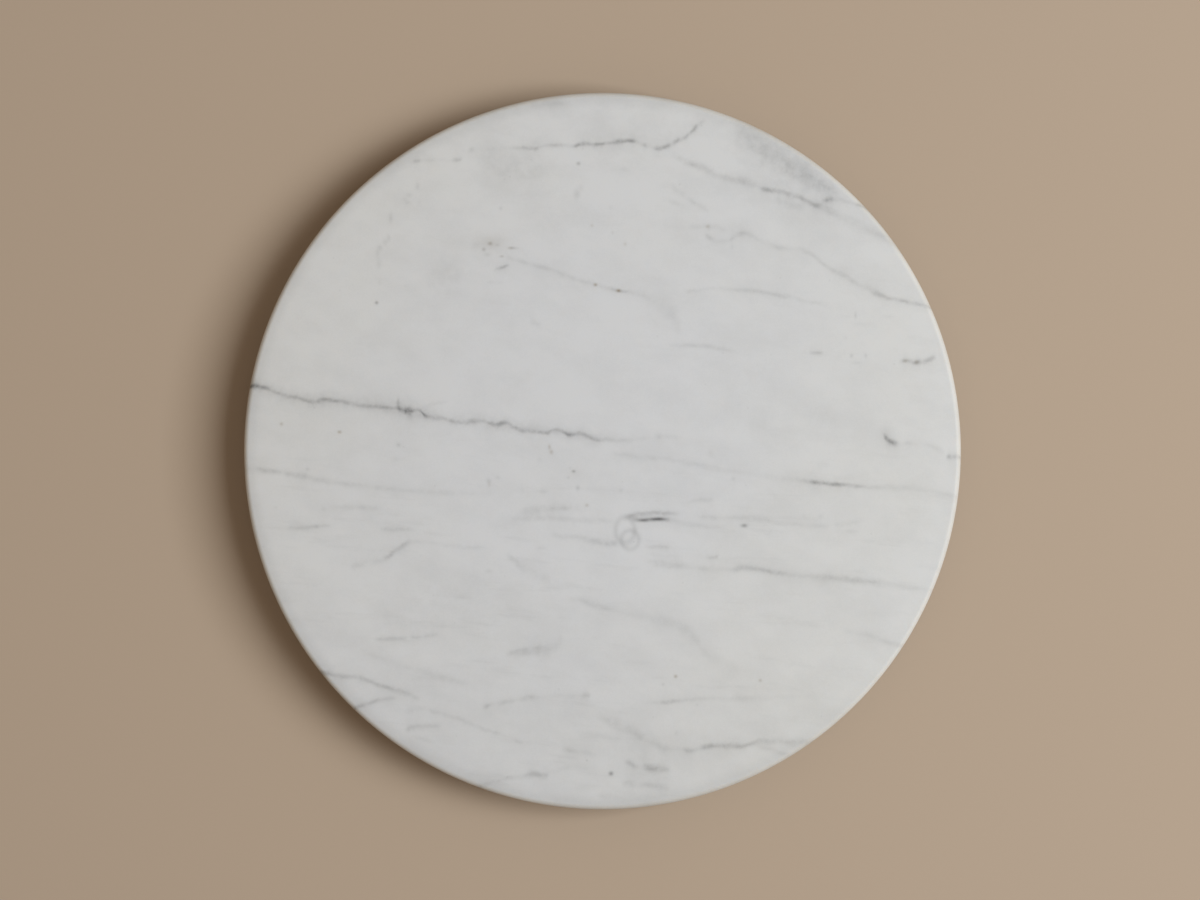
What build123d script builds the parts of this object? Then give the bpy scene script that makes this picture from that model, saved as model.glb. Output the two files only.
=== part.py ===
"""Marble lazy susan turntable: a stone slab on a flat ring bearing that stands on rubber feet.

Millimetres, +Z up. The origin is on the table, on the axis that the slab turns about.
"""
from build123d import *

import os

# Marble slab
SLAB_DIAMETER = 406.0
SLAB_THICKNESS = 18.0
SLAB_EDGE_RADIUS = 3.0

# Two flat rings, one inside the other, with a ball race between them
RING_OUTER_DIAMETER = 300.0
RING_WIDTH = 14.0
RING_HEIGHT = 12.0
RING_STAGGER = 2.0
RING_EDGE_RADIUS = 1.0

# Balls and the strip that spaces them
BALL_DIAMETER = 4.76
BALL_COUNT = 32
RACE_CLEARANCE = 0.2
CAGE_THICKNESS = 1.0
CAGE_SIDE_GAP = 0.5
CAGE_END_GAP = 1.0
POCKET_CLEARANCE = 0.15

# Set screw that closes the ball loading hole and carries the race across it
PLUG_DIAMETER = 6.0
PLUG_SINK = 0.6
PLUG_KEY = 3.0
PLUG_KEY_DEPTH = 3.5
PLUG_ANGLE = 22.5

# Countersunk screws that hold the turning ring under the slab
SCREW_COUNT = 8
SCREW_DIAMETER = 5.0
SCREW_REACH = 7.3
SCREW_HEAD_DIAMETER = 9.2
SCREW_HEAD_RIM = 0.4
SCREW_HEAD_SINK = 0.3
SCREW_TIP_CHAMFER = 0.6
SCREW_KEY = 3.0
SCREW_KEY_DEPTH = 2.0
SCREW_HOLE_CLEARANCE = 0.25
SCREW_ANGLE = 22.5

# Threaded bushes glued into the slab
INSERT_WALL = 1.45
INSERT_LENGTH = 10.0
INSERT_SINK = 0.2
INSERT_END_SPACE = 1.0

# Silicone washers between the turning ring and the slab
WASHER_DIAMETER = 10.0
WASHER_THICKNESS = 1.5
WASHER_RECESS = 0.5

# Rubber feet under the standing ring
FOOT_COUNT = 8
FOOT_DIAMETER = 13.0
FOOT_HEIGHT = 5.0
FOOT_TREAD_DIAMETER = 11.0
FOOT_ROUND = 0.8
FOOT_STEM_DIAMETER = 10.0
FOOT_STEM_HEIGHT = 2.5
FOOT_DIMPLE_DIAMETER = 4.0
FOOT_DIMPLE_DEPTH = 0.8

# Gap round pieces that are glued, screwed or pushed into a hole
SEAT_CLEARANCE = 0.05

# Heights of the stack, from the table up
OUTER_RING_LOW = FOOT_HEIGHT
OUTER_RING_HIGH = OUTER_RING_LOW + RING_HEIGHT
INNER_RING_LOW = OUTER_RING_LOW + RING_STAGGER
INNER_RING_HIGH = INNER_RING_LOW + RING_HEIGHT
BALL_LEVEL = (OUTER_RING_LOW + INNER_RING_HIGH) / 2
SLAB_LOW = INNER_RING_HIGH - WASHER_RECESS + WASHER_THICKNESS

# Radii of the ring set, from the outside in
OUTER_RING_OUT = RING_OUTER_DIAMETER / 2
OUTER_RING_IN = OUTER_RING_OUT - RING_WIDTH
INNER_RING_OUT = OUTER_RING_IN - CAGE_THICKNESS - 2 * CAGE_SIDE_GAP
INNER_RING_IN = INNER_RING_OUT - RING_WIDTH
PITCH_RADIUS = (OUTER_RING_IN + INNER_RING_OUT) / 2
BALL_RADIUS = BALL_DIAMETER / 2
RACE_RADIUS = BALL_RADIUS + RACE_CLEARANCE
SCREW_CIRCLE_RADIUS = (INNER_RING_IN + PITCH_RADIUS - RACE_RADIUS) / 2
FOOT_CIRCLE_RADIUS = (OUTER_RING_IN + OUTER_RING_OUT) / 2

# Screw, insert and the blind hole that takes them
SCREW_RADIUS = SCREW_DIAMETER / 2
SCREW_HOLE_RADIUS = SCREW_RADIUS + SCREW_HOLE_CLEARANCE
SCREW_HEAD_RADIUS = SCREW_HEAD_DIAMETER / 2
SCREW_LOW = INNER_RING_LOW + SCREW_HEAD_SINK
SCREW_HIGH = SLAB_LOW + SCREW_REACH
INSERT_BORE_RADIUS = SCREW_RADIUS + SEAT_CLEARANCE
INSERT_RADIUS = INSERT_BORE_RADIUS + INSERT_WALL
INSERT_LOW = SLAB_LOW + INSERT_SINK
INSERT_HOLE_HIGH = max(INSERT_LOW + INSERT_LENGTH, SCREW_HIGH) + INSERT_END_SPACE

UPRIGHT = (Align.CENTER, Align.CENTER, Align.MIN)


def rod(radius, low, high):
    """Upright cylinder on the Z axis between two heights."""
    return Pos(0, 0, low) * Cylinder(radius, high - low, align=UPRIGHT)


def turned(*outline):
    """Solid turned about Z from a closed outline of (radius, height) points."""
    return revolve(Plane.XZ * make_face(Polyline(*outline, close=True)), Axis.Z)


def key_socket(across_flats, low, depth):
    """Hexagonal socket that opens downwards at the height low."""
    hexagon = RegularPolygon(across_flats / 2, 6, major_radius=False)
    return extrude(Pos(0, 0, low) * hexagon, depth)


def spread(piece, radius, count, start_angle=0.0):
    """Copies of a piece, evenly round the Z axis."""
    return [place * piece for place in PolarLocations(radius, count, start_angle)]


def on_screw_circle(piece):
    """A copy of a piece at each ring screw."""
    return spread(piece, SCREW_CIRCLE_RADIUS, SCREW_COUNT, SCREW_ANGLE)


def race_section():
    """Round groove that the balls run in, as drawn in the rings' section."""
    return Pos(PITCH_RADIUS, BALL_LEVEL) * Circle(RACE_RADIUS)


def grooved_ring(radius_in, radius_out, low, high):
    """Flat ring with rounded corners and the race turned into the wall that faces the balls."""
    middle = Pos((radius_in + radius_out) / 2, (low + high) / 2)
    section = middle * RectangleRounded(radius_out - radius_in, high - low, RING_EDGE_RADIUS)
    return revolve(Plane.XZ * (section - race_section()), Axis.Z)


def on_plug_axis(piece):
    """A piece drawn along Z from its outer end, laid on the plug's axis from the ring's outside."""
    return Rot(0, 0, PLUG_ANGLE) * Pos(OUTER_RING_OUT, 0, BALL_LEVEL) * Rot(0, -90, 0) * piece


def marble_top():
    """Round slab with eased edges and blind holes for the inserts in its underside."""
    slab = rod(SLAB_DIAMETER / 2, SLAB_LOW, SLAB_LOW + SLAB_THICKNESS)
    slab = fillet(slab.edges().filter_by(GeomType.CIRCLE), SLAB_EDGE_RADIUS)
    return slab - on_screw_circle(rod(INSERT_RADIUS + SEAT_CLEARANCE, SLAB_LOW, INSERT_HOLE_HIGH))


def thread_insert():
    """Plain brass bush whose thread takes a ring screw."""
    high = INSERT_LOW + INSERT_LENGTH
    return rod(INSERT_RADIUS, INSERT_LOW, high) - rod(INSERT_BORE_RADIUS, INSERT_LOW, high)


def ring_screw():
    """Countersunk screw, head down, with a hexagonal socket."""
    cone_low = SCREW_LOW + SCREW_HEAD_RIM
    cone_high = cone_low + SCREW_HEAD_RADIUS - SCREW_RADIUS
    screw = turned(
        (0, SCREW_LOW),
        (SCREW_HEAD_RADIUS, SCREW_LOW),
        (SCREW_HEAD_RADIUS, cone_low),
        (SCREW_RADIUS, cone_high),
        (SCREW_RADIUS, SCREW_HIGH - SCREW_TIP_CHAMFER),
        (SCREW_RADIUS - SCREW_TIP_CHAMFER, SCREW_HIGH),
        (0, SCREW_HIGH),
    )
    return screw - key_socket(SCREW_KEY, SCREW_LOW, SCREW_KEY_DEPTH)


def screw_seat():
    """Countersunk hole right through the turning ring, with the washer's recess at its top."""
    mouth = SCREW_HEAD_RADIUS + SEAT_CLEARANCE
    cone_low = SCREW_LOW + SCREW_HEAD_RIM
    countersink = turned(
        (0, INNER_RING_LOW),
        (mouth, INNER_RING_LOW),
        (mouth, cone_low),
        (SCREW_HOLE_RADIUS, cone_low + mouth - SCREW_HOLE_RADIUS),
        (SCREW_HOLE_RADIUS, INNER_RING_HIGH),
        (0, INNER_RING_HIGH),
    )
    recess_low = INNER_RING_HIGH - WASHER_RECESS
    return countersink + rod(WASHER_DIAMETER / 2 + SEAT_CLEARANCE, recess_low, INNER_RING_HIGH)


def inner_ring():
    """Turning ring: race on its outside, screw seats between the race and the bore."""
    ring = grooved_ring(INNER_RING_IN, INNER_RING_OUT, INNER_RING_LOW, INNER_RING_HIGH)
    return ring - on_screw_circle(screw_seat())


def cushion_washer():
    """Flat silicone washer that sits in its recess and carries the slab."""
    low = INNER_RING_HIGH - WASHER_RECESS
    return rod(WASHER_DIAMETER / 2, low, SLAB_LOW) - rod(SCREW_HOLE_RADIUS, low, SLAB_LOW)


def outer_ring():
    """Standing ring: race on its inside, foot pockets underneath, ball loading hole through its wall."""
    ring = grooved_ring(OUTER_RING_IN, OUTER_RING_OUT, OUTER_RING_LOW, OUTER_RING_HIGH)
    pocket_high = OUTER_RING_LOW + FOOT_STEM_HEIGHT + SEAT_CLEARANCE
    pocket = rod(FOOT_STEM_DIAMETER / 2 + SEAT_CLEARANCE, OUTER_RING_LOW, pocket_high)
    hole_depth = OUTER_RING_OUT - PITCH_RADIUS
    loading_hole = on_plug_axis(rod(PLUG_DIAMETER / 2 + SEAT_CLEARANCE, 0, hole_depth))
    return ring - spread(pocket, FOOT_CIRCLE_RADIUS, FOOT_COUNT) - loading_hole


def loading_plug():
    """Set screw in the loading hole, its nose ground to the ring's inside and to the race."""
    blank = rod(PLUG_DIAMETER / 2, PLUG_SINK, OUTER_RING_OUT - PITCH_RADIUS)
    plug = on_plug_axis(blank - key_socket(PLUG_KEY, PLUG_SINK, PLUG_KEY_DEPTH))
    race = revolve(Plane.XZ * race_section(), Axis.Z)
    return plug - rod(OUTER_RING_IN, OUTER_RING_LOW, OUTER_RING_HIGH) - race


def ball_cage():
    """Thin upright strip, closed into a ring, with a round pocket for each ball."""
    low = INNER_RING_LOW + CAGE_END_GAP
    high = OUTER_RING_HIGH - CAGE_END_GAP
    radius_in = PITCH_RADIUS - CAGE_THICKNESS / 2
    strip = rod(radius_in + CAGE_THICKNESS, low, high) - rod(radius_in, low, high)
    hole = Cylinder(BALL_RADIUS + POCKET_CLEARANCE, BALL_DIAMETER)
    return strip - spread(Pos(0, 0, BALL_LEVEL) * Rot(0, 90, 0) * hole, PITCH_RADIUS, BALL_COUNT)


def ball():
    """Steel ball at the height of the race."""
    return Pos(0, 0, BALL_LEVEL) * Sphere(BALL_RADIUS)


def foot():
    """Rubber foot: a stem in the ring's pocket, and a tapered pad with a rounded, dimpled tread."""
    pad = turned(
        (0, 0),
        (FOOT_TREAD_DIAMETER / 2, 0),
        (FOOT_DIAMETER / 2, FOOT_HEIGHT),
        (FOOT_STEM_DIAMETER / 2, FOOT_HEIGHT),
        (FOOT_STEM_DIAMETER / 2, FOOT_HEIGHT + FOOT_STEM_HEIGHT),
        (0, FOOT_HEIGHT + FOOT_STEM_HEIGHT),
    )
    tread_edge = pad.edges().filter_by(GeomType.CIRCLE).sort_by(Axis.Z)[0]
    return fillet(tread_edge, FOOT_ROUND) - rod(FOOT_DIMPLE_DIAMETER / 2, 0, FOOT_DIMPLE_DEPTH)


def numbered(name, copies, digits):
    """One node for each copy: NAME_1, NAME_2 and so on."""
    return {f"{name}_{i:0{digits}d}": copy for i, copy in enumerate(copies, start=1)}


def assembly():
    """Every node of the turntable by name."""
    return {
        "marble_top": marble_top(),
        "thread_inserts": Compound(on_screw_circle(thread_insert())),
        "ring_screws": Compound(on_screw_circle(ring_screw())),
        "inner_ring": inner_ring(),
        "outer_ring": outer_ring(),
        "loading_plug": loading_plug(),
        "ball_cage": ball_cage(),
        **numbered("cushion_washer", on_screw_circle(cushion_washer()), 1),
        **numbered("ball", spread(ball(), PITCH_RADIUS, BALL_COUNT), 2),
        **numbered("foot", spread(foot(), FOOT_CIRCLE_RADIUS, FOOT_COUNT), 1),
    }


def main():
    os.makedirs("parts", exist_ok=True)
    for name, shape in assembly().items():
        export_step(shape, f"parts/{name}.step")


if __name__ == "__main__":
    main()
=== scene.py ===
"""Looks of the marble lazy susan turntable, in metres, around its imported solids."""
import math

import bmesh
import bpy
import numpy as np
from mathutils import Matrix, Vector


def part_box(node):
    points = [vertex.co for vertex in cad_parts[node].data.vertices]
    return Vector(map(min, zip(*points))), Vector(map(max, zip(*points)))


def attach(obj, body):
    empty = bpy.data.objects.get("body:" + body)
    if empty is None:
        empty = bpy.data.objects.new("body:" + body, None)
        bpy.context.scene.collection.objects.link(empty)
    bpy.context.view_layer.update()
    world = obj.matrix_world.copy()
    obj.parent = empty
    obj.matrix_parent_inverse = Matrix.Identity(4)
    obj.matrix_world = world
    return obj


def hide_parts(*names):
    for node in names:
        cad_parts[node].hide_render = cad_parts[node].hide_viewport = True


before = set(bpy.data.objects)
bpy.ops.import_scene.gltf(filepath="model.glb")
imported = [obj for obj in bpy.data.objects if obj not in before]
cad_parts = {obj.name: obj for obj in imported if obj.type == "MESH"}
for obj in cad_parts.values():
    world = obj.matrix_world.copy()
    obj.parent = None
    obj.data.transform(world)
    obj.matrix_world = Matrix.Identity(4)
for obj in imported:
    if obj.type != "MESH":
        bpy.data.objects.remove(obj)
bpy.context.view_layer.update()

MM = 0.001

# The photograph: the slab's centre and radius in its 1200 x 900 pixels
PHOTO_WIDTH = 1200
PHOTO_HEIGHT = 900
SLAB_PIXEL_X = 602.5
SLAB_PIXEL_Y = 451.1
SLAB_PIXEL_RADIUS = 358.25

# The slab, from its solid's box and the part's own sizes
slab_low, slab_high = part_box("marble_top")
SLAB_RADIUS = slab_high.x
SLAB_BOTTOM = slab_low.z
SLAB_TOP = slab_high.z
EDGE_RADIUS = 3.0 * MM
PIXEL = SLAB_RADIUS / SLAB_PIXEL_RADIUS

# Blind holes in the slab's underside, one over each ring screw
HOLE_COUNT = 8
HOLE_RADIUS = 4.05 * MM
HOLE_CIRCLE = 126.21 * MM
HOLE_TOP = 31.2 * MM
HOLE_MARGIN = 12 * MM

# Fineness of the slab's mesh
SLAB_COLUMNS = 512
TOP_RINGS = 12
BOTTOM_RINGS = 7
SECTOR_SIDE_STEPS = 8
HOLE_FACE_RINGS = 4

# Veins of the slab's face, each from left to right: pixel x and y, share of brightness lost in percent,
# and half width in pixels, which carries on where it is left out
VEINS = {
    "long_left": [
        (228, 380, 24, 2.2), (247, 385, 28), (258, 387, 29), (268, 389, 20), (281, 394, 17),
        (304, 400, 17), (312, 402.5, 26), (318, 401, 22), (326, 399.5, 24), (340, 401, 19),
        (355, 404.5, 15), (372, 406.5, 18), (390, 408, 23), (398, 408.6, 27, 2.0),
        (401, 409.7, 42, 2.2), (404.5, 410.6, 30), (408, 412, 47, 3.2), (413, 412, 32, 2.6),
        (416, 410.3, 22, 2.0), (419, 409.6, 24, 1.8), (421.5, 411, 25), (423.5, 414, 34, 2.0),
        (426, 415.4, 21, 2.2), (432, 416.8, 15), (440, 418, 15), (461, 422.5, 17), (480, 421.5, 20),
        (497, 425, 24), (505, 422.5, 25), (515, 428.5, 21), (531, 431, 19), (548, 432.5, 22),
        (555, 429.5, 21), (562, 431, 17), (569, 434.5, 28), (577, 433, 16), (592, 438, 17),
        (605, 440, 12), (622, 440, 9), (645, 438, 3), (660, 437, 0),
    ],
    "long_left_haze": [
        (228, 379, 6, 7), (247, 384, 8), (268, 389, 6), (304, 399, 7), (330, 400, 7), (372, 406, 6),
        (398, 409, 8), (410, 411, 9, 8), (424, 413, 8), (440, 417.5, 6, 6), (480, 422, 5),
        (515, 427, 6), (555, 430.5, 5), (577, 434, 5), (605, 439, 4), (630, 440, 0),
    ],
    "long_left_spur": [(424, 406, 0, 2.0), (430, 404.5, 5), (440, 403, 5), (452, 402, 0)],
    "top": [
        (406, 163, 0, 2.0), (412, 162.5, 2), (417.5, 162, 17), (422, 161.5, 5), (430, 161, 9),
        (438, 160.5, 3), (450, 160.5, 3), (460, 160, 18), (463, 159, 3), (466, 155, 0), (469, 151, 4),
        (471.5, 149.8, 13), (476, 150, 2), (500, 149, 3), (514, 148.5, 8), (522, 148, 14),
        (528, 148.5, 12), (534, 148.8, 27), (541, 147, 9), (550, 146, 15), (560, 145.5, 14),
        (566, 146, 9), (574, 146.5, 18), (580, 144.8, 30, 2.0), (592, 144.5, 27), (602, 144.3, 27),
        (607, 143.5, 18), (612, 143, 22), (618, 142.5, 29), (626, 141.6, 34), (632, 141.5, 38),
        (636, 142.8, 12), (640, 144.5, 9), (645, 146, 24), (648, 147, 10), (652, 148.3, 9),
        (656, 149.3, 24, 2.4), (663, 148, 28), (668, 146, 30), (672, 144, 16), (677, 141.5, 22),
        (681, 140, 15), (685, 137.5, 23), (689, 134.8, 14), (694.5, 129.2, 28, 2.6), (698, 126, 11),
        (703, 122, 6), (710, 117, 0),
    ],
    "top_rim_smudge": [(525, 106, 0, 3.0), (535, 106, 6), (548, 105, 7), (560, 104, 5), (572, 103, 0)],
    "upper_right": [
        (660, 154, 0, 4.0), (676, 158, 6), (692, 165, 13, 3.2), (702, 168.5, 10, 4.2), (711, 171.5, 10),
        (717, 176, 8, 4), (724, 178.3, 12, 3.2), (735, 180.3, 13, 3.4), (745, 181.8, 15, 3.6),
        (755, 185.5, 9, 3.4), (762, 189, 15, 2.8), (768, 190.5, 23, 2.4), (783, 193, 21, 2.6),
        (797, 197, 18, 3.2), (812, 204.5, 22, 3), (826, 209, 13, 4), (845, 219, 7, 6), (867, 229, 8, 5),
        (884, 238, 9, 4), (905, 249, 7, 4),
    ],
    "rim_dash": [
        (818, 201, 0, 2.6), (823, 200.3, 13), (828, 200, 26), (832, 199.6, 15), (838, 200, 7),
        (846, 202, 9, 2.1), (853, 203.8, 6), (859, 205.5, 15, 2.1), (872, 210, 12),
    ],
    "shoulder_cloud": [
        (722, 126, 0, 12), (740, 135, 8, 13), (757, 146, 14, 14), (777, 159, 15, 14),
        (797, 172, 16, 13), (815, 183, 16, 11), (832, 192, 10, 7), (844, 200, 0),
    ],
    "upper_right_smudge": [(768, 198, 0, 5), (782, 202, 5), (796, 206, 6), (808, 210, 0)],
    "small_slant": [(668, 187, 0, 3.0), (676, 191, 5), (690, 200, 7), (704, 209, 6), (714, 217, 0)],
    "small_slant_low": [(658, 198, 0, 2.6), (666, 200.5, 4), (680, 205, 5), (690, 209, 0)],
    "right_arm_start": [
        (684, 227, 0, 2.6), (696, 226.5, 6), (708, 227, 8), (715, 226.5, 5), (722, 230, 4),
        (732, 231.5, 0),
    ],
    "right_arm": [
        (703, 235, 0, 2.7), (709.5, 238.3, 13), (714, 241, 7), (724, 241.5, 6), (729, 240, 5),
        (732, 238.3, 13), (735.5, 236.5, 5), (739, 234.3, 16), (745, 234, 8), (752, 236, 6),
        (760, 240.5, 5), (768, 244, 5), (774, 246.5, 8), (778, 247.8, 12), (783, 248.5, 6),
        (792, 249.5, 5), (803, 250.5, 7), (818, 260, 9), (832, 271, 10), (844, 276, 12), (856, 284, 9),
        (868, 289, 10, 3.4), (876, 293.5, 15, 3.8), (885, 297.5, 17, 2.6), (895, 299.8, 17, 2),
        (908, 302.5, 18, 1.9), (926, 306.5, 17), (950, 312, 14),
    ],
    "right_faint": [
        (682, 292, 0, 2.2), (690, 291.5, 9), (702, 290.5, 5), (714, 288, 4), (730, 290, 6),
        (742, 291, 10), (757, 291, 11), (770, 294, 9), (782, 296.5, 12), (792, 298, 6), (803, 301.5, 7),
        (821, 304, 5), (835, 306, 0),
    ],
    "upper_slant": [
        (502, 257, 0, 2.4), (510, 258.5, 7), (522, 262, 8), (539, 267, 9), (552, 271, 8), (565, 276, 8),
        (580, 281, 7), (595, 285, 8), (606, 288.5, 7), (618, 291, 19, 1.7), (633, 293, 9, 2.4),
        (645, 296, 6, 4), (655, 301, 5, 8), (668, 310, 6, 11), (677, 322, 5, 11), (684, 334, 0),
    ],
    "short_dash": [(494, 270, 0, 1.6), (498, 268.5, 18), (506, 266.5, 18), (510, 265.5, 0)],
    "faint_dash": [(485, 284, 0, 1.8), (490, 283, 4), (500, 283, 4), (506, 283, 0)],
    "centre_right": [
        (606, 452, 0, 2.6), (620, 454.5, 6), (650, 457.5, 7), (673, 460, 6), (700, 466, 7, 3),
        (722, 469.5, 5), (740, 472.5, 4), (762, 475.5, 3), (782, 478, 4), (800, 480, 8, 2.4),
        (811, 482, 24), (817, 482.8, 36, 2.1), (827, 484, 28), (838, 484.8, 31), (850, 485.5, 22),
        (862, 486.5, 13), (893, 488.5, 5, 2.4), (927, 490.5, 4), (950, 495, 5), (975, 500, 5),
    ],
    "left_low": [
        (232, 467, 2, 2.7), (252, 468.8, 4), (258, 469.2, 11), (266, 470, 15), (274, 471.2, 13),
        (283, 473, 10), (290, 474, 16), (300, 475.8, 18), (306, 476.8, 15), (311, 478, 7),
        (318, 479.7, 10), (327, 481, 11), (336, 482.8, 6), (350, 484.5, 10), (358, 485.4, 9),
        (368, 486.5, 5), (380, 488, 8), (400, 489.5, 6), (427, 491.5, 5, 3), (455, 493, 4),
        (480, 494, 3), (505, 494, 0),
    ],
    "left_dash_high": [
        (325, 507, 0, 2.6), (338, 506.5, 5), (355, 507, 7), (372, 508, 8), (385, 508, 0),
    ],
    "left_dash_low": [
        (284, 528, 0, 2.2), (292, 527.5, 8), (305, 527.5, 9), (318, 526.5, 12, 1.9), (330, 526, 5),
        (338, 526, 0),
    ],
    "left_dash_right": [
        (378, 529, 0, 2.2), (386, 529, 10), (398, 529.5, 10), (412, 529, 6), (420, 529, 0),
    ],
    "left_hook": [
        (348, 567, 0, 3.2), (357, 565.5, 7), (368, 562.5, 4), (378, 561, 5), (386, 558, 16, 2.8),
        (397, 550, 19), (408, 542.5, 16), (414, 541, 4, 2.2), (440, 544, 4), (468, 547, 6),
        (480, 547, 5), (490, 547, 0),
    ],
    "dark_dash": [
        (630, 519, 0, 2.2), (638, 519.5, 11), (650, 519.6, 16), (664, 519.8, 18), (672, 521, 10),
        (690, 524, 6), (713, 526.5, 5), (730, 527, 0),
    ],
    "dark_dash_top": [
        (622, 518, 0, 2.4), (629, 515.5, 15), (636, 514.3, 20), (644, 513.6, 18), (652, 513.3, 20),
        (660, 513.3, 19), (668, 513.3, 14), (676, 513.2, 7), (684, 513, 0),
    ],
    "middle_wisp_high": [
        (676, 504, 0, 2.0), (684, 503, 3), (697, 500.8, 5), (705, 500.5, 10, 2.2), (712, 500.5, 6),
        (717, 501, 0),
    ],
    "middle_wisp": [
        (694, 516.5, 0, 2.4), (708, 517, 8), (722, 518, 6), (743, 518, 9), (766, 520, 9), (782, 523, 5),
        (796, 523.8, 6), (803, 524.8, 3), (810, 525.8, 5), (820, 526, 7), (826, 526, 4), (831, 525, 1),
        (838, 524.3, 5), (847, 523.3, 5), (853, 521.8, 5), (858, 521, 3), (866, 520.5, 0),
    ],
    "loop_tail": [
        (548, 533, 0, 3.0), (558, 535.5, 6), (574, 537, 7), (590, 540, 12, 3.3), (603, 542.5, 14),
        (614, 543.5, 12), (622, 544, 0),
    ],
    "centre_wisp_low": [
        (505, 519, 0, 2.8), (515, 518.5, 5), (545, 518, 7), (575, 519.5, 6), (604, 520.5, 6),
        (618, 521, 0),
    ],
    "centre_wisp_high": [
        (515, 511, 0, 4.2), (527, 510.5, 8), (545, 509, 10), (560, 507.5, 9), (575, 506.5, 4),
        (590, 506, 0),
    ],
    "loop_dash": [(640, 547, 0, 2.0), (648, 547, 6), (658, 546.8, 9), (667, 547, 8), (673, 547, 0)],
    "right_dot_dash": [(704, 557, 0, 2.0), (709, 557, 12), (714, 556.5, 14), (719, 556, 0)],
    "lower_right": [
        (636, 560, 0, 3.2), (657, 563, 7, 3.6), (677, 565, 8, 3.8), (690, 566, 5, 3.0), (702, 568, 6),
        (718, 569.5, 6), (733, 569.5, 8, 2.6), (743, 567.5, 14), (752, 569, 12), (762, 570.5, 17),
        (771, 571.5, 20), (782, 573, 12), (800, 575, 9), (815, 576, 10), (827, 577, 14, 3),
        (845, 579, 16), (862, 581, 17), (880, 582.5, 10), (893, 584.5, 5, 2.4), (907, 587.5, 8),
        (922, 588.5, 5), (945, 592, 5),
    ],
    "soft_bend": [
        (562, 597, 0, 3.0), (575, 599.5, 6), (590, 603, 8), (604, 607.5, 7), (620, 612.5, 4),
        (643, 615.5, 4, 4), (660, 620, 7, 5), (678, 625, 9), (689, 632, 7, 6), (697, 641, 6),
        (704, 651, 4.5), (713, 656.5, 4), (724, 661, 3, 5), (735, 667, 2), (746, 673, 0),
    ],
    "low_left_line": [
        (374, 639.2, 0, 2.0), (380, 638.8, 9), (392, 638.5, 8), (404, 637.6, 9), (409, 637, 2),
        (413, 636.8, 9), (422, 636, 9), (434, 635, 8), (440, 634.5, 0),
    ],
    "low_smudge": [
        (504, 655, 0, 3), (509, 653.5, 8), (520, 651.3, 11, 4.4), (532, 650.5, 10, 5.4), (541, 650, 12),
        (548, 650, 9), (554, 647, 5, 5), (561, 640, 4), (566, 634, 0),
    ],
    "low_smudge_edge": [
        (508, 653, 0, 1.6), (518, 650, 4), (530, 647.8, 4), (541, 646.5, 7), (548, 646.5, 0),
    ],
    "low_left_rim": [
        (305, 667, 20, 2.4), (325, 672.5, 26), (338, 675, 22), (350, 676.5, 14), (362, 678, 13),
        (378, 684, 15), (390, 688, 15), (402, 692, 15), (410, 694.5, 12), (417, 697, 8),
        (424, 699.5, 0),
    ],
    "low_left_rim_fork": [
        (340, 713, 20, 2.2), (356, 707.5, 23), (366, 703.5, 17), (374, 701.3, 14), (386, 699, 12),
        (393, 698, 10), (400, 697.5, 0),
    ],
    "low_left_faint": [
        (358, 650, 0, 3.0), (368, 653.5, 3), (392, 662, 4), (420, 670, 3), (440, 677, 4), (455, 681, 3),
        (470, 684, 0),
    ],
    "low_left_streak": [
        (405, 679, 0, 3.2), (420, 677.5, 4), (440, 676, 5), (450, 679, 4), (462, 682, 4), (475, 684, 0),
    ],
    "low_left_wisp": [(402, 712, 0, 2.6), (412, 709.5, 6), (422, 708, 5), (434, 707, 0)],
    "low_slant": [
        (424, 709, 0, 2.2), (434, 711.5, 9), (444, 714, 8), (460, 718.5, 6), (480, 727, 6),
        (494, 732, 7), (503, 734.5, 6), (511, 738, 2), (519, 741, 7), (525, 742, 2), (545, 744, 0),
    ],
    "low_beads": [
        (482, 707, 0, 2.4), (487, 706, 18), (493, 704, 5), (505, 701.5, 11), (512, 700.5, 9),
        (519, 699, 4), (528, 697, 12), (537, 696.5, 9), (545, 696, 2), (560, 696, 2), (578, 695.5, 2),
        (587, 695, 12), (592, 695, 0),
    ],
    "low_tick": [
        (402, 730, 0, 3.2), (408, 728.5, 11), (414, 726.5, 13, 2.8), (425, 726, 9), (436, 725.5, 9),
        (444, 725, 0),
    ],
    "low_tick_faint": [(412, 735, 0, 2.2), (418, 737, 5), (430, 740.5, 5), (436, 742, 0)],
    "bottom_left": [
        (462, 792, 10, 2.3), (483, 784.5, 10), (496, 781, 7), (508, 777.5, 8), (522, 775.5, 9),
        (533, 773, 14, 3.2), (545, 775.5, 14, 2.8), (551, 772, 4), (560, 768.5, 5), (575, 766.5, 4),
        (590, 768, 3), (604, 769, 0),
    ],
    "bottom_smudge": [
        (560, 747.5, 0, 2.6), (567, 749, 11), (574, 750.3, 11), (581, 751.5, 3), (589, 753, 6),
        (598, 754, 0),
    ],
    "bottom_dash": [
        (624, 760, 0, 3.0), (630, 763, 14), (635, 765.5, 12), (639, 766.5, 6), (645, 767.5, 16, 3.4),
        (654, 768.7, 19), (662, 768.8, 15), (668, 768.5, 10), (676, 769, 0),
    ],
    "low_middle_line": [
        (638, 703, 0, 2.1), (649, 702.5, 4), (660, 702.5, 10), (670, 701.5, 16), (680, 700, 10),
        (692, 698.5, 7), (702, 698.5, 6), (714, 698, 4), (730, 698.5, 5), (741, 698.5, 8, 3),
        (750, 697.5, 7), (765, 697.5, 3), (787, 696.5, 3), (800, 696, 0),
    ],
    "bottom_right": [
        (586, 712, 0, 3), (600, 717, 5, 3.4), (611, 721.5, 9, 5), (621, 726.5, 10, 6.5),
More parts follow.
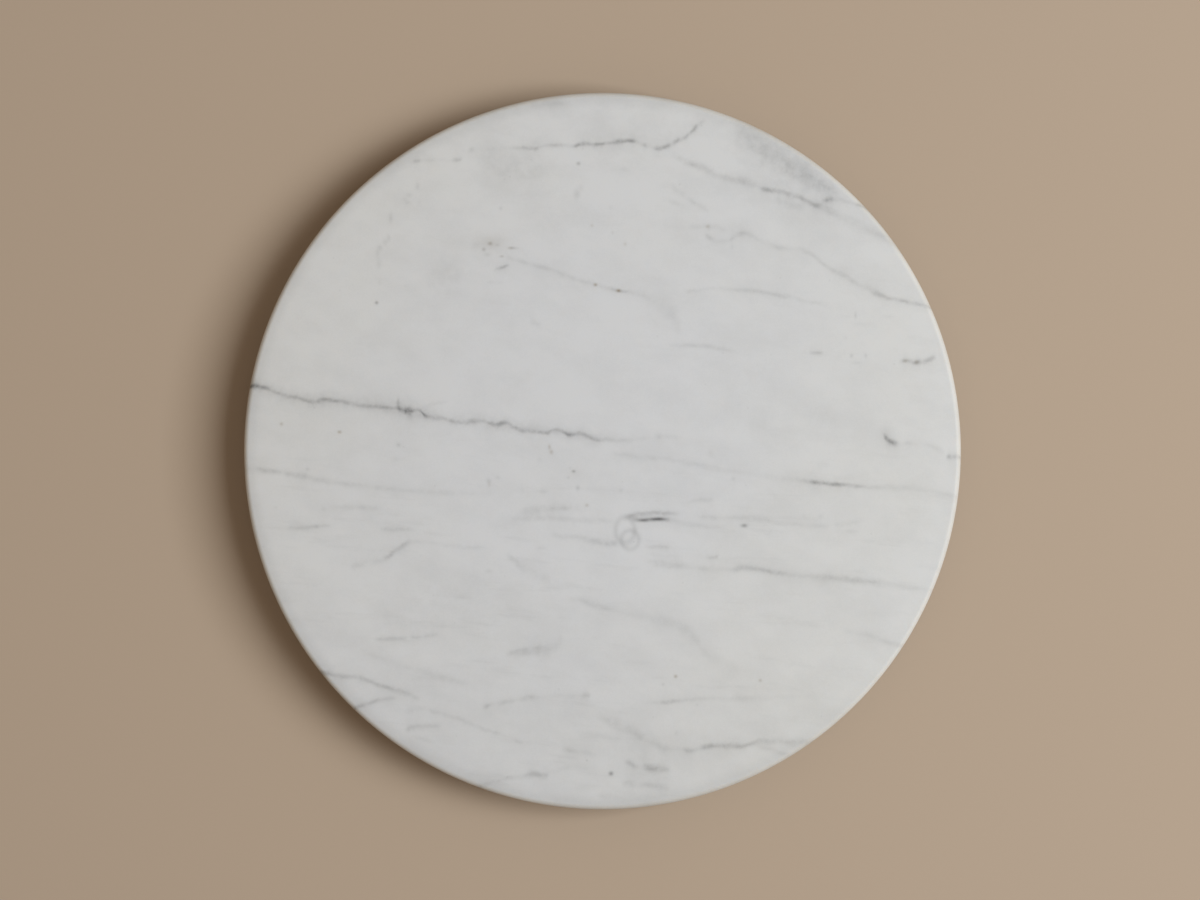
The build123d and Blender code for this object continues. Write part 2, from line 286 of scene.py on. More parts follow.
        (632, 732, 10, 6.5), (642, 738, 8, 5.5), (650, 741.5, 6, 4), (656, 744, 6, 3.8), (662, 747, 9),
        (668, 748, 7, 3.2), (680, 748.5, 4, 2.6), (690, 750.5, 16), (697, 748.5, 7),
        (704, 746, 20, 2.6), (713, 745.5, 22), (723, 745.3, 23), (735, 745.3, 24), (744, 744.8, 23),
        (752, 742.5, 15), (760, 741, 15, 3.2), (773, 741.5, 12), (793, 741.5, 10), (815, 741.5, 8),
        (840, 741, 6),
    ],
    "bottom_right_fork": [
        (755, 745, 0, 2.4), (765, 747.5, 5), (778, 751.5, 6), (788, 755, 6), (800, 759, 5),
        (815, 764, 5),
    ],
    "right_rim_faint": [
        (838, 631, 0, 3.0), (851, 632.5, 5), (867, 635, 6), (880, 640, 5), (894, 644, 7), (915, 650, 6),
    ],
    "bottom_rim_smudge": [(594, 793, 0, 2.6), (605, 794.5, 7), (616, 796, 5), (626, 797, 0)],
    "bottom_faint": [
        (620, 783, 0, 3.3), (628, 783, 13), (636, 784, 6), (650, 785.5, 9), (662, 787.5, 10),
        (672, 788, 0),
    ],
    "upper_middle_line": [
        (664, 345, 0, 2.3), (674, 346, 7), (697, 346, 10), (714, 348, 9), (733, 352, 5), (745, 353, 0),
    ],
    "upper_right_dash": [(808, 353, 0, 1.9), (812, 353, 12), (819, 353.3, 13), (823, 353.5, 0)],
    "right_rim_dash": [
        (899, 361.5, 0, 2.4), (904, 361.3, 29), (909, 361.5, 17), (913, 362.5, 22), (917, 362.5, 27),
        (921, 361.5, 14), (926, 361, 24, 2.8), (931, 359.5, 24), (936, 357.5, 0),
    ],
    "right_blob": [
        (881, 433, 0, 3.0), (885.5, 437.8, 32), (889, 440.8, 36), (893, 442.6, 26, 2.6),
        (897, 443.6, 22, 2.4), (900, 444, 2), (908, 443, 7), (914, 443, 3), (940, 450, 6),
        (945, 452, 0),
    ],
    "right_rim_tick": [
        (944.5, 456.8, 0, 2.7), (948, 456.3, 21), (952, 456.3, 22), (957, 456.5, 14), (975, 459, 6),
    ],
    "after_long_left": [
        (648, 437.5, 0, 3.0), (656, 437, 4), (661, 436.5, 9), (666, 437, 5), (675, 437, 5),
        (686, 438, 0),
    ],
    "rosy_slant": [
        (503, 553, 0, 3.2), (509, 556.5, 8), (514, 560, 10, 3.6), (519, 563.5, 8, 4.8),
        (526, 567.5, 6, 6), (535, 573, 4, 6.5), (541, 576.5, 4), (546, 578.7, 7, 4.4), (553, 582, 0),
    ],
    "centre_tick": [(528, 321, 0, 3.0), (533, 322.5, 5), (538, 325, 5), (543, 327, 0)],
    "cloud_under_top": [
        (468, 166, 0, 14), (486, 166, 5), (505, 168, 7), (528, 168, 8), (545, 172, 4), (562, 174, 0),
    ],
    "cloud_upper_left": [(415, 275, 0, 18), (436, 276, 4), (450, 280, 5), (472, 282, 0)],
    "cloud_right": [
        (738, 424, 0, 10), (758, 424, 3), (772, 420, 1), (812, 414, 2), (827, 413, 3), (845, 412, 0),
    ],
    "cloud_left_low": [(350, 610, 0, 30), (400, 612, 3), (440, 606, 3), (500, 610, 2), (560, 620, 0)],
    "cloud_bottom": [(600, 745, 0, 22), (640, 756, 3), (690, 735, 2), (720, 720, 0)],
}

# Dark grains of the slab's face: pixel x and y, half width and half height, percent of brightness lost
GRAINS = (
    (656.5, 519, 8.0, 1.8, 62), (643, 520.2, 5.0, 1.7, 42), (636, 519, 4.0, 2.6, 20),
    (628.5, 517.5, 5.0, 3.0, 10), (744, 525.5, 3.2, 1.9, 42), (611, 773, 2.3, 2.1, 46),
    (581.5, 188, 3.0, 4.2, 7), (577, 194.5, 3.4, 4.8, 14), (418, 186.5, 2.2, 3.6, 9),
    (409.5, 195.5, 2.8, 2.0, 7), (405, 199.8, 2.5, 2.0, 6), (408, 203, 3.0, 2.0, 8),
    (419.5, 203, 2.4, 3.0, 4), (391, 218.5, 2.0, 5.0, 12), (389, 238, 1.9, 3.6, 9),
    (385.5, 242.5, 2.4, 3.2, 10), (380.3, 248, 2.6, 3.2, 12), (377.8, 254, 2.0, 4.5, 8),
    (379.3, 264.5, 2.6, 4.5, 8), (380, 282, 2.0, 3.0, 4), (490.3, 244, 2.4, 1.8, 14),
    (497.5, 245.2, 2.6, 1.5, 10), (512, 248.3, 3.6, 1.4, 20), (517, 248.8, 3.0, 1.3, 6),
    (484, 249.8, 2.0, 1.9, 15), (487.5, 255, 3.2, 2.0, 9), (491, 246, 11.0, 6.0, 4),
    (502, 256.6, 2.2, 1.2, 9), (884, 436, 7.0, 7.0, 8), (501, 209, 1.8, 1.8, 11),
    (624, 169.5, 5.0, 2.6, 6), (578.5, 164, 2.0, 1.9, 26), (377, 303, 1.7, 1.7, 40),
    (399, 445, 2.2, 2.0, 14), (489, 480.6, 2.4, 2.2, 12), (573.7, 471.3, 1.9, 1.4, 34),
    (398.5, 403, 1.6, 4.5, 22), (568.5, 477.5, 1.7, 1.5, 9), (570, 468, 1.5, 1.4, 6),
    (577.8, 487.8, 1.9, 2.8, 15), (498, 477.7, 2.6, 2.0, 9), (543.3, 491.7, 4.2, 2.5, 7),
    (522, 490, 2.4, 2.2, 4), (540, 459.7, 2.2, 2.2, 5), (406.7, 286.5, 3.5, 2.4, 4),
    (855, 315.7, 1.3, 3.2, 13), (846, 316.7, 5.0, 1.5, 4), (862, 324.5, 11.0, 2.2, 5),
    (888, 316.7, 6.0, 1.5, 4), (845, 338, 2.2, 2.2, 5), (851, 356, 1.8, 2.3, 15),
    (865.3, 356, 1.6, 2.3, 13), (856.5, 362.8, 5.5, 1.7, 6), (850, 531.3, 6.0, 1.9, 7),
    (803.3, 516.2, 2.4, 2.2, 4), (820, 516.2, 2.8, 2.4, 5), (660, 677.5, 7.0, 1.7, 5),
    (663, 684, 1.6, 1.6, 10), (489, 571, 3.6, 2.1, 8), (541, 548, 5.0, 1.6, 6),
    (732, 247.5, 1.8, 3.0, 5), (476.5, 245.5, 4.2, 3.6, 5), (692.5, 165.3, 2.4, 1.6, 8),
    (616, 182, 2.6, 2.3, 5), (610.5, 208, 2.0, 2.4, 4), (308, 469, 2.2, 2.0, 10),
    (395.5, 459, 4.0, 2.2, 4), (276, 507.5, 2.2, 2.0, 5), (324, 509, 2.4, 2.2, 6),
    (317, 526.7, 3.2, 1.5, 10), (487, 705.5, 2.6, 2.2, 7), (733, 478.6, 2.6, 2.4, 8),
    (621, 490.2, 2.2, 2.1, 7), (710.5, 453.5, 3.0, 4.0, 5), (748, 566.5, 10.0, 4.0, 6),
    (585, 786, 9.0, 4.0, 4), (676, 732.5, 1.7, 1.9, 6),
)
# Rusty grains, the same way
RUST = (
    (618.5, 291, 2.2, 1.6, 32), (595.5, 285, 1.8, 1.5, 24), (549.5, 447, 1.5, 2.6, 12),
    (551.5, 452, 1.8, 2.2, 14), (340, 432, 2.0, 1.6, 20), (282, 424, 1.8, 1.7, 14),
    (675.5, 676, 1.7, 1.7, 20), (760, 680, 1.7, 1.7, 14), (587, 505.2, 1.8, 1.7, 12),
    (489.3, 484, 1.8, 2.4, 7), (575, 473, 7.0, 6.0, 3), (707.5, 227, 2.0, 1.7, 12),
    (490.5, 244, 2.0, 1.6, 12), (511, 248.5, 2.6, 1.4, 8), (491, 242, 15.0, 7.0, 6),
    (502, 256.7, 2.0, 1.2, 8), (484, 249.8, 1.6, 1.5, 6), (905, 361, 2.0, 1.6, 14),
    (916, 362.5, 2.2, 1.5, 14), (592, 226, 1.7, 1.6, 8), (612.5, 233, 1.5, 1.5, 6),
    (625, 244.5, 1.6, 1.8, 8),
)
# Two small rings of vein under the dark dash: pixel x and y, half width and half height
LOOPS = ((625, 530, 9.5, 12.8), (630, 539.7, 8.7, 9.6))
LOOP_LINE = 0.28
LOOP_LOSS = 0.12


# Meshes

# Points nearer than this are one, and edges that turn by more than this stay sharp
SEAM = 0.001 * MM
SHARP_DEGREES = 30


def grid_faces(rows, columns, close=False):
    """Quads of a grid of points numbered row by row. A closed grid joins its last column to its first."""
    last = columns if close else columns - 1
    row, column = np.meshgrid(np.arange(rows - 1), np.arange(last), indexing="ij")
    here = row * columns
    above = here + columns
    beside = (column + 1) % columns
    corners = (here + column, here + beside, above + beside, above + column)
    return np.stack(corners, axis=-1).reshape(-1, 4)


def fan_faces(centre, ring):
    """Triangles from one point to each side of a closed ring of points."""
    return np.stack((np.full(len(ring), centre), ring, np.roll(ring, -1)), axis=-1)


def eased_edge(centre_radius, centre_height, start_angle, steps=12):
    """Quarter circle of (radius, height) points, anticlockwise from its start angle in degrees."""
    angle = np.radians(np.linspace(start_angle, start_angle + 90, steps + 1))
    radius = centre_radius + EDGE_RADIUS * np.cos(angle)
    height = centre_height + EDGE_RADIUS * np.sin(angle)
    return np.stack((radius, height), axis=-1)


def turned_points(profile, columns):
    """A profile of (radius, height) points carried round Z: x = radius cos a, y = radius sin a,
    z = height."""
    angle = np.arange(columns) * 2 * math.pi / columns
    radius = profile[:, :1]
    height = profile[:, 1:] + 0 * angle
    return np.stack((radius * np.cos(angle), radius * np.sin(angle), height), axis=-1).reshape(-1, 3)


class MeshParts:
    """Points and faces gathered from several surfaces into one mesh."""

    def __init__(self):
        self.points = []
        self.faces = []
        self.count = 0

    def add(self, points, *face_sets):
        for faces in face_sets:
            self.faces.extend((faces + self.count).tolist())
        self.points.append(points)
        self.count += len(points)

    def piece(self, name, material):
        """One object of all the surfaces, with its seams merged and its faces outwards."""
        mesh = bpy.data.meshes.new(name)
        mesh.from_pydata(np.concatenate(self.points), [], self.faces)
        joined = bmesh.new()
        joined.from_mesh(mesh)
        bmesh.ops.remove_doubles(joined, verts=joined.verts, dist=SEAM)
        bmesh.ops.recalc_face_normals(joined, faces=joined.faces)
        joined.to_mesh(mesh)
        joined.free()
        mesh.shade_smooth()
        mesh.set_sharp_from_angle(angle=math.radians(SHARP_DEGREES))
        mesh.materials.append(material)
        piece = bpy.data.objects.new(name, mesh)
        bpy.context.scene.collection.objects.link(piece)
        return piece


# Shader nodes

class Shader:
    """A material's node tree, with short calls that add a node and join its inputs."""

    def __init__(self, name):
        self.material = bpy.data.materials.new(name)
        self.material.use_nodes = True
        self.tree = self.material.node_tree
        self.surface = self.tree.nodes["Principled BSDF"]
        self.place = self.add("ShaderNodeTexCoord").outputs["Object"]

    def add(self, kind, inputs=(), **settings):
        node = self.tree.nodes.new(kind)
        for key, value in settings.items():
            setattr(node, key, value)
        for key, value in dict(inputs).items():
            self.feed(node.inputs[key], value)
        return node

    def feed(self, socket, value):
        if isinstance(value, bpy.types.NodeSocket):
            self.tree.links.new(value, socket)
        else:
            socket.default_value = value

    def set(self, **values):
        """Inputs of the surface shader by name, with underscores for spaces."""
        for key, value in values.items():
            self.feed(self.surface.inputs[key.replace("_", " ")], value)

    def math(self, operation, *values):
        return self.add("ShaderNodeMath", enumerate(values), operation=operation).outputs[0]

    def vector(self, operation, *values):
        return self.add("ShaderNodeVectorMath", enumerate(values), operation=operation).outputs[0]

    def split(self, vector):
        return self.add("ShaderNodeSeparateXYZ", {0: vector}).outputs

    def join(self, x=0.0, y=0.0, z=0.0):
        return self.add("ShaderNodeCombineXYZ", {0: x, 1: y, 2: z}).outputs[0]

    def noise(self, vector, scale, detail=2.0, roughness=0.5, output="Fac"):
        inputs = {"Vector": vector, "Scale": scale, "Detail": detail, "Roughness": roughness}
        return self.add("ShaderNodeTexNoise", inputs).outputs[output]

    def spread(self, value, low, high, to_low=0.0, to_high=1.0):
        """A value eased from one range to another, and held at the ends."""
        inputs = {"Value": value, "From Min": low, "From Max": high, "To Min": to_low, "To Max": to_high}
        return self.add("ShaderNodeMapRange", inputs, interpolation_type="SMOOTHSTEP").outputs[0]

    def mix(self, share, first, second):
        inputs = {0: share, 6: first, 7: second}
        return self.add("ShaderNodeMix", inputs, data_type="RGBA").outputs[2]

    def cells(self, vector, scale, output="Distance"):
        return self.add("ShaderNodeTexVoronoi", {"Vector": vector, "Scale": scale}).outputs[output]

    def reach(self, vector, centre, *half_sizes):
        """Distance from a centre, counted in half sizes."""
        scale = [1 / half for half in half_sizes] + [0.0]
        away = self.vector("MULTIPLY", self.vector("SUBTRACT", vector, (*centre, 0.0)), scale)
        return self.add("ShaderNodeVectorMath", {0: away}, operation="LENGTH").outputs["Value"]

    def fade(self, reach, power=2.0):
        """One at no distance, falling off as exp(-distance^power)."""
        return self.math("EXPONENT", self.math("MULTIPLY", self.math("POWER", reach, power), -1.0))

    def bump(self, height, distance, strength=1.0):
        inputs = {"Height": height, "Distance": distance, "Strength": strength}
        return self.add("ShaderNodeBump", inputs).outputs[0]


def colour(red, green, blue):
    """A colour given as it shows on a screen, 0 to 255, as the shader's linear values."""
    screen = np.array((red, green, blue)) / 255
    linear = np.where(screen <= 0.04045, screen / 12.92, ((screen + 0.055) / 1.055) ** 2.4)
    return (*linear.tolist(), 1.0)


# Marble

STONE_WHITE = colour(209.4, 210, 210.3)
STONE_CREAM = colour(210.7, 210.2, 206.6)
# Painted warm bounce light on the eased edge
PAINTED_BOUNCE_CREAM = colour(212, 208.5, 200)
RUST_BROWN = colour(128, 110, 78)
BLACK = colour(0, 0, 0)

# Pixel ranges that the vein curves are drawn in, the gap between veins on one strand, and the length of
# the tip that a strand's ends get
VEIN_LEFT, VEIN_RIGHT = 222.0, 984.0
VEIN_HIGH, VEIN_LOW = 80.0, 820.0
VEIN_WIDEST = 40.0
VEIN_GAP = 10.0
VEIN_TIP = 3
# The faint halo of a vein: its share of the loss, and how much slower it falls off
HALO_SHARE = 0.18
HALO_FALL = 0.07
# How far a vein's sheet shifts sideways for each step down into the stone
SHEET_LEAN_X = -0.25
SHEET_LEAN_Y = 0.45
# How far a vein strays from its points, in pixels
WANDER = 2.0
# Slope of the broad patches and of the fine wisps, and how far both are drawn out along it
PATCH_SLOPE, PATCH_STRETCH = 0.55, 0.35
WISP_SLOPE, WISP_STRETCH = 0.07, 0.16
# Pixel ranges over which the stone's tone, and the painted shade along the rim, change: down the face,
# along a slant, and across it
TOP_BAND = (130.0, 240.0)
WISP_BAND = (400.0, 540.0)
LOW_GREY_BAND = (560.0, 780.0)
LOW_CREAM_BAND = (620.0, 700.0)
CALM_SLANT, CALM_BAND = 0.8, (1230.0, 1380.0)
LOW_CREAM_ACROSS = (600.0, 850.0)
# Painted shade: full along the rim on the left, fading to a little on the lit right
PAINTED_RIM_SHADE_ACROSS = (620.0, 930.0)
# A greyer spot on the right and the whiter middle: pixel centre, half width and half height
GREY_SPOT, GREY_SPOT_HALVES = (790.0, 490.0), (90.0, 130.0)
WHITE_SPOT, WHITE_SPOT_HALVES = (575.0, 430.0), (330.0, 330.0)
# A whiter band along the line 1.3 x + 0.7 y = 1030, and where it turns to cream on both sides
WHITE_LINE_X, WHITE_LINE_Y, WHITE_LINE = 1.3, 0.7, 1030.0
WHITE_LINE_BAND = (150.0, 450.0)
# The most brightness that the stone loses, and how strongly rust covers it
MOST_LOSS = 0.8
RUST_COVER = 2.2
# Crystals of the stone in a metre, and the most brightness that one loses
CRYSTALS = 1900.0
CRYSTAL_LOSS = 0.03
# Tiny specks: cells in a pixel, radius in cells, share of brightness lost
SPECKS = ((0.022, 0.03, 0.10), (0.041, 0.05, 0.05))
SPECK_RARITY = 0.55
# Finish: the honed face, the rougher sawn underside with its marks, and how deep light goes in
HONED_ROUGHNESS, VEIN_ROUGHNESS = 0.58, 0.66
SAWN_ROUGHNESS = 0.16
SAW_MARK_DEPTH = 0.12 * MM
SAW_MARKS = (14.0, 900.0, 900.0)
LIGHT_DEPTH = 4.0 * MM


def vein_strands():
    """Veins packed into strands. On one strand they follow each other from left to right and never
    overlap."""
    strands = []
    for points in sorted(VEINS.values(), key=lambda vein: vein[0][0]):
        room = [strand for strand in strands if strand[-1][0] + VEIN_GAP < points[0][0]]
        strand = room[0] if room else []
        if not room:
            strands.append(strand)
        width = points[0][3]
        for x, y, loss, *wide in points:
            width = wide[0] if wide else width
            strand.append((x, y, loss, width))
        for end, step in ((points[0], -VEIN_TIP), (points[-1], VEIN_TIP)):
            if end[2] > 0:
                strand.append((end[0] + step, end[1], 0, width))
        strand.sort()
    return strands


def vein_curves(shader, across, strand):
    """Height, brightness loss and half width of a strand along the slab, as three curves of one node."""
    node = shader.add("ShaderNodeRGBCurve", {"Color": across})
    x, y, loss, width = np.array(strand).T
    along = (x - VEIN_LEFT) / (VEIN_RIGHT - VEIN_LEFT)
    heights = (y - VEIN_HIGH) / (VEIN_LOW - VEIN_HIGH)
    for curve, values in zip(node.mapping.curves, (heights, loss / 100, width / VEIN_WIDEST)):
        ends = curve.points
        ends[0].location = (0.0, values[0])
        ends[1].location = (1.0, values[-1])
        for place, value in zip(along, values):
            ends.new(place, value)
        for point in ends:
            point.handle_type = "AUTO_CLAMPED"
    node.mapping.update()
    return shader.add("ShaderNodeSeparateColor", {0: node.outputs[0]}).outputs


def vein_loss(shader, x, y):
    """Brightness lost to the veins: each strand fades as exp(-t^2), with t the distance in half widths,
    inside a faint halo."""
    across = shader.math("DIVIDE", shader.math("SUBTRACT", x, VEIN_LEFT), VEIN_RIGHT - VEIN_LEFT)
    total = 0.0
    for strand in vein_strands():
        height, loss, width = vein_curves(shader, across, strand)[:3]
        middle = shader.math("MULTIPLY_ADD", height, VEIN_LOW - VEIN_HIGH, VEIN_HIGH)
        off = shader.math("SUBTRACT", y, middle)
        t = shader.math("DIVIDE", off, shader.math("MULTIPLY_ADD", width, VEIN_WIDEST, 0.01))
        fall = shader.math("MULTIPLY", shader.math("MULTIPLY", t, t), -1.0)
        core = shader.math("EXPONENT", fall)
        halo = shader.math("EXPONENT", shader.math("MULTIPLY", fall, HALO_FALL))
        shape = shader.math("MULTIPLY_ADD", halo, HALO_SHARE, core)
        total = shader.math("MULTIPLY_ADD", loss, shape, total)
    return total


def grain_loss(shader, pixel, grains):
    """Brightness lost to small round grains."""
    total = 0.0
    for x, y, half_width, half_height, loss in grains:
        reach = shader.reach(pixel, (x, y), half_width, half_height)
        total = shader.math("MULTIPLY_ADD", shader.fade(reach), loss / 100, total)
    return total


def loop_loss(shader, pixel):
    """Brightness lost to the ring-shaped veins: a soft line where the distance from a centre is one."""
    total = 0.0
    for x, y, half_width, half_height in LOOPS:
        reach = shader.reach(pixel, (x, y), half_width, half_height)
        off = shader.math("ABSOLUTE", shader.math("SUBTRACT", reach, 1.0))
        line = shader.fade(shader.math("DIVIDE", off, LOOP_LINE))
        total = shader.math("MULTIPLY_ADD", line, LOOP_LOSS, total)
    return total


def cloud_loss(shader, pixel):
    """Brightness lost to soft blotches, to broad slanting patches, and to wisps drawn out along the veins.
    The lower half has more wisps and is greyer, and the lower right is calm."""
    x, y, _ = shader.split(pixel)
    blotches = shader.noise(shader.vector("MULTIPLY", pixel, (0.7, 1.0, 1.0)), 0.034, 5.0, 0.62)
    top_share = shader.spread(y, *TOP_BAND, 1.6, 1.0)
    blotches = shader.math("MULTIPLY", shader.spread(blotches, 0.28, 0.72, -0.022, 0.026), top_share)

    along = shader.math("MULTIPLY", shader.math("MULTIPLY_ADD", y, PATCH_SLOPE, x), PATCH_STRETCH)
    across = shader.math("MULTIPLY_ADD", x, -PATCH_SLOPE, y)
    patches = shader.noise(shader.join(along, across), 0.017, 3.0, 0.55)
    patches = shader.spread(patches, 0.30, 0.70, -0.019, 0.02)

    along = shader.math("MULTIPLY", x, WISP_STRETCH)
    across = shader.math("MULTIPLY_ADD", x, -WISP_SLOPE, y)
    wisps = shader.noise(shader.join(along, across), 0.07, 5.0, 0.65)
    wisps = shader.spread(wisps, 0.52, 0.76, 0.0, 0.07)
    low_share = shader.spread(y, *WISP_BAND, 0.3, 1.0)
    calm_share = shader.spread(shader.math("MULTIPLY_ADD", x, CALM_SLANT, y), *CALM_BAND, 1.0, 0.5)
    wisps = shader.math("MULTIPLY", wisps, calm_share)

    low_grey = shader.spread(y, *LOW_GREY_BAND, 0.0, 0.042)
    right_grey = shader.fade(shader.reach(pixel, GREY_SPOT, *GREY_SPOT_HALVES))
    grey = shader.math("ADD", shader.math("MULTIPLY_ADD", right_grey, 0.018, low_grey), patches)
    return shader.math("ADD", shader.math("MULTIPLY_ADD", wisps, low_share, blotches), grey)


def stone_ground(shader, pixel, rim, near_top):
    """Colour of the stone between its veins: neutral in the middle and creamier outwards, with a painted
    warm tint of the floor's bounce light on the eased edge.
    """
    x, y, _ = shader.split(pixel)
    outer_share = shader.reach(pixel, WHITE_SPOT, *WHITE_SPOT_HALVES)
    outer_share = shader.spread(outer_share, 0.3, 0.9, -0.3, 0.08)
    slant = shader.math("MULTIPLY_ADD", y, WHITE_LINE_Y, -WHITE_LINE)
    slant = shader.math("MULTIPLY_ADD", x, WHITE_LINE_X, slant)
    slant = shader.spread(shader.math("ABSOLUTE", slant), *WHITE_LINE_BAND, 0.0, 0.37)
    cream = shader.math("ADD", outer_share, slant)
    cream = shader.math("MULTIPLY_ADD", shader.noise(pixel, 0.013, 3.0), 0.6, cream)
    low_share = shader.spread(y, *LOW_CREAM_BAND)
    low_cream = shader.spread(x, *LOW_CREAM_ACROSS, -0.16, 0.24)
    cream = shader.math("MULTIPLY_ADD", low_share, low_cream, cream)
    ground = shader.mix(cream, STONE_WHITE, STONE_CREAM)
    # Painted light: a warm cream tint on the eased edge stands in for the floor's bounce light there
    painted_bounce_share = shader.math("MULTIPLY", shader.spread(rim, 0.982, 0.998, 0.0, 0.9), near_top)
    return shader.mix(painted_bounce_share, ground, PAINTED_BOUNCE_CREAM)


def speck_loss(shader, pixel):
    """Brightness lost to the stone's crystals, and to tiny specks in some cells of two random layers."""
    crystals = shader.split(shader.cells(shader.place, CRYSTALS, "Color"))[0]
    total = shader.math("MULTIPLY", crystals, CRYSTAL_LOSS)
    for scale, radius, loss in SPECKS:
        speck = shader.math("LESS_THAN", shader.cells(pixel, scale), radius)
        chance = shader.split(shader.cells(pixel, scale, "Color"))[0]
        some = shader.math("GREATER_THAN", chance, SPECK_RARITY)
        total = shader.math("MULTIPLY_ADD", shader.math("MULTIPLY", speck, some), loss, total)
    return total


def marble():
    """White marble: grey veins and clouds that run through the stone as leaning sheets. Along the rim it
    has painted shade on the sides away from the lamp, and a painted warm tint of bounce light on the eased
    edge.
    """
    shader = Shader("white_marble")
    x, y, z = shader.split(shader.place)
    depth = shader.math("SUBTRACT", SLAB_TOP, z)
    x = shader.math("MULTIPLY_ADD", depth, SHEET_LEAN_X, x)
    y = shader.math("MULTIPLY_ADD", depth, SHEET_LEAN_Y, y)
    x = shader.math("MULTIPLY_ADD", x, 1 / PIXEL, SLAB_PIXEL_X)
    y = shader.math("MULTIPLY_ADD", y, -1 / PIXEL, SLAB_PIXEL_Y)
    pixel = shader.join(x, y)

    wander = shader.noise(pixel, 0.075, 3.0, 0.6, "Color")
    shift = shader.vector("MULTIPLY_ADD", wander, (2 * WANDER, 2 * WANDER, 0.0), (-WANDER, -WANDER, 0.0))
    bent_x, bent_y, _ = shader.split(shader.vector("ADD", pixel, shift))
    beads = shader.spread(shader.noise(pixel, 0.10, 3.0, 0.6), 0.30, 0.70, 0.62, 1.35)
    veins = shader.math("MULTIPLY", vein_loss(shader, bent_x, bent_y), beads)
    loss = shader.math("ADD", veins, cloud_loss(shader, pixel))
    loss = shader.math("ADD", loss, grain_loss(shader, pixel, GRAINS))
    loss = shader.math("ADD", loss, loop_loss(shader, pixel))
    loss = shader.math("ADD", loss, speck_loss(shader, pixel))

    rim = shader.reach(shader.place, (0.0, 0.0), SLAB_RADIUS, SLAB_RADIUS)
    near_top = shader.spread(depth, 1.5 * MM, 5.0 * MM, 1.0, 0.3)
    # Painted shade: the top of the rim greys towards the edge, fully on the sides away from the lamp and a
    # little on the lit right, where it dims the edge's highlight
    painted_rim_shade = shader.math("MULTIPLY", shader.spread(rim, 0.95, 0.995, 0.0, 0.12), near_top)
    loss = shader.math("MULTIPLY_ADD", painted_rim_shade, shader.spread(x, *PAINTED_RIM_SHADE_ACROSS, 1.0, 0.15), loss)
    loss = shader.math("MINIMUM", shader.math("MAXIMUM", loss, 0.0), MOST_LOSS)

    stone = shader.mix(loss, stone_ground(shader, pixel, rim, near_top), BLACK)
    rust = shader.math("MULTIPLY", grain_loss(shader, pixel, RUST), RUST_COVER)
    sawn = shader.math("LESS_THAN", z, SLAB_BOTTOM + 0.05 * MM)
    honed = shader.spread(loss, 0.0, 0.4, HONED_ROUGHNESS, VEIN_ROUGHNESS)
    shader.set(Base_Color=shader.mix(rust, stone, RUST_BROWN))
    shader.set(Roughness=shader.math("MULTIPLY_ADD", sawn, SAWN_ROUGHNESS, honed))
    shader.set(Subsurface_Weight=0.4, Subsurface_Radius=(1.0, 0.85, 0.7), Subsurface_Scale=LIGHT_DEPTH)
    marks = shader.noise(shader.vector("MULTIPLY", shader.place, SAW_MARKS), 1.0, 3.0, 0.6)
    shader.set(Normal=shader.bump(shader.math("MULTIPLY", marks, sawn), SAW_MARK_DEPTH, 0.5))
    return shader.material


def slab(material):
    """Slab turned from its section, with a blind hole over each ring screw."""
    columns = SLAB_COLUMNS
    inside = HOLE_CIRCLE - HOLE_MARGIN
    outside = HOLE_CIRCLE + HOLE_MARGIN
    flat = SLAB_RADIUS - EDGE_RADIUS
    parts = MeshParts()

    rim = np.concatenate((
        [(outside, SLAB_BOTTOM), ((outside + flat) / 2, SLAB_BOTTOM)],
        eased_edge(flat, SLAB_BOTTOM + EDGE_RADIUS, -90),
        eased_edge(flat, SLAB_TOP - EDGE_RADIUS, 0),
        [(radius, SLAB_TOP) for radius in np.linspace(flat, 0, TOP_RINGS)[1:-1]],
    ))
    centre_ring = (len(rim) - 1) * columns + np.arange(columns)
    points = np.concatenate((turned_points(rim, columns), [(0, 0, SLAB_TOP)]))
    centre = len(rim) * columns
    parts.add(points, grid_faces(len(rim), columns, close=True), fan_faces(centre, centre_ring))

    bottom = np.array([(radius, SLAB_BOTTOM) for radius in np.linspace(inside, 0, BOTTOM_RINGS)[:-1]])
    centre_ring = (len(bottom) - 1) * columns + np.arange(columns)
    points = np.concatenate((turned_points(bottom, columns), [(0, 0, SLAB_BOTTOM)]))
    centre = len(bottom) * columns
    parts.add(points, grid_faces(len(bottom), columns, close=True), fan_faces(centre, centre_ring))

    for number in range(HOLE_COUNT):
        parts.add(*holed_sector(number, inside, outside, columns // HOLE_COUNT))
    return parts.piece("marble_slab", material)


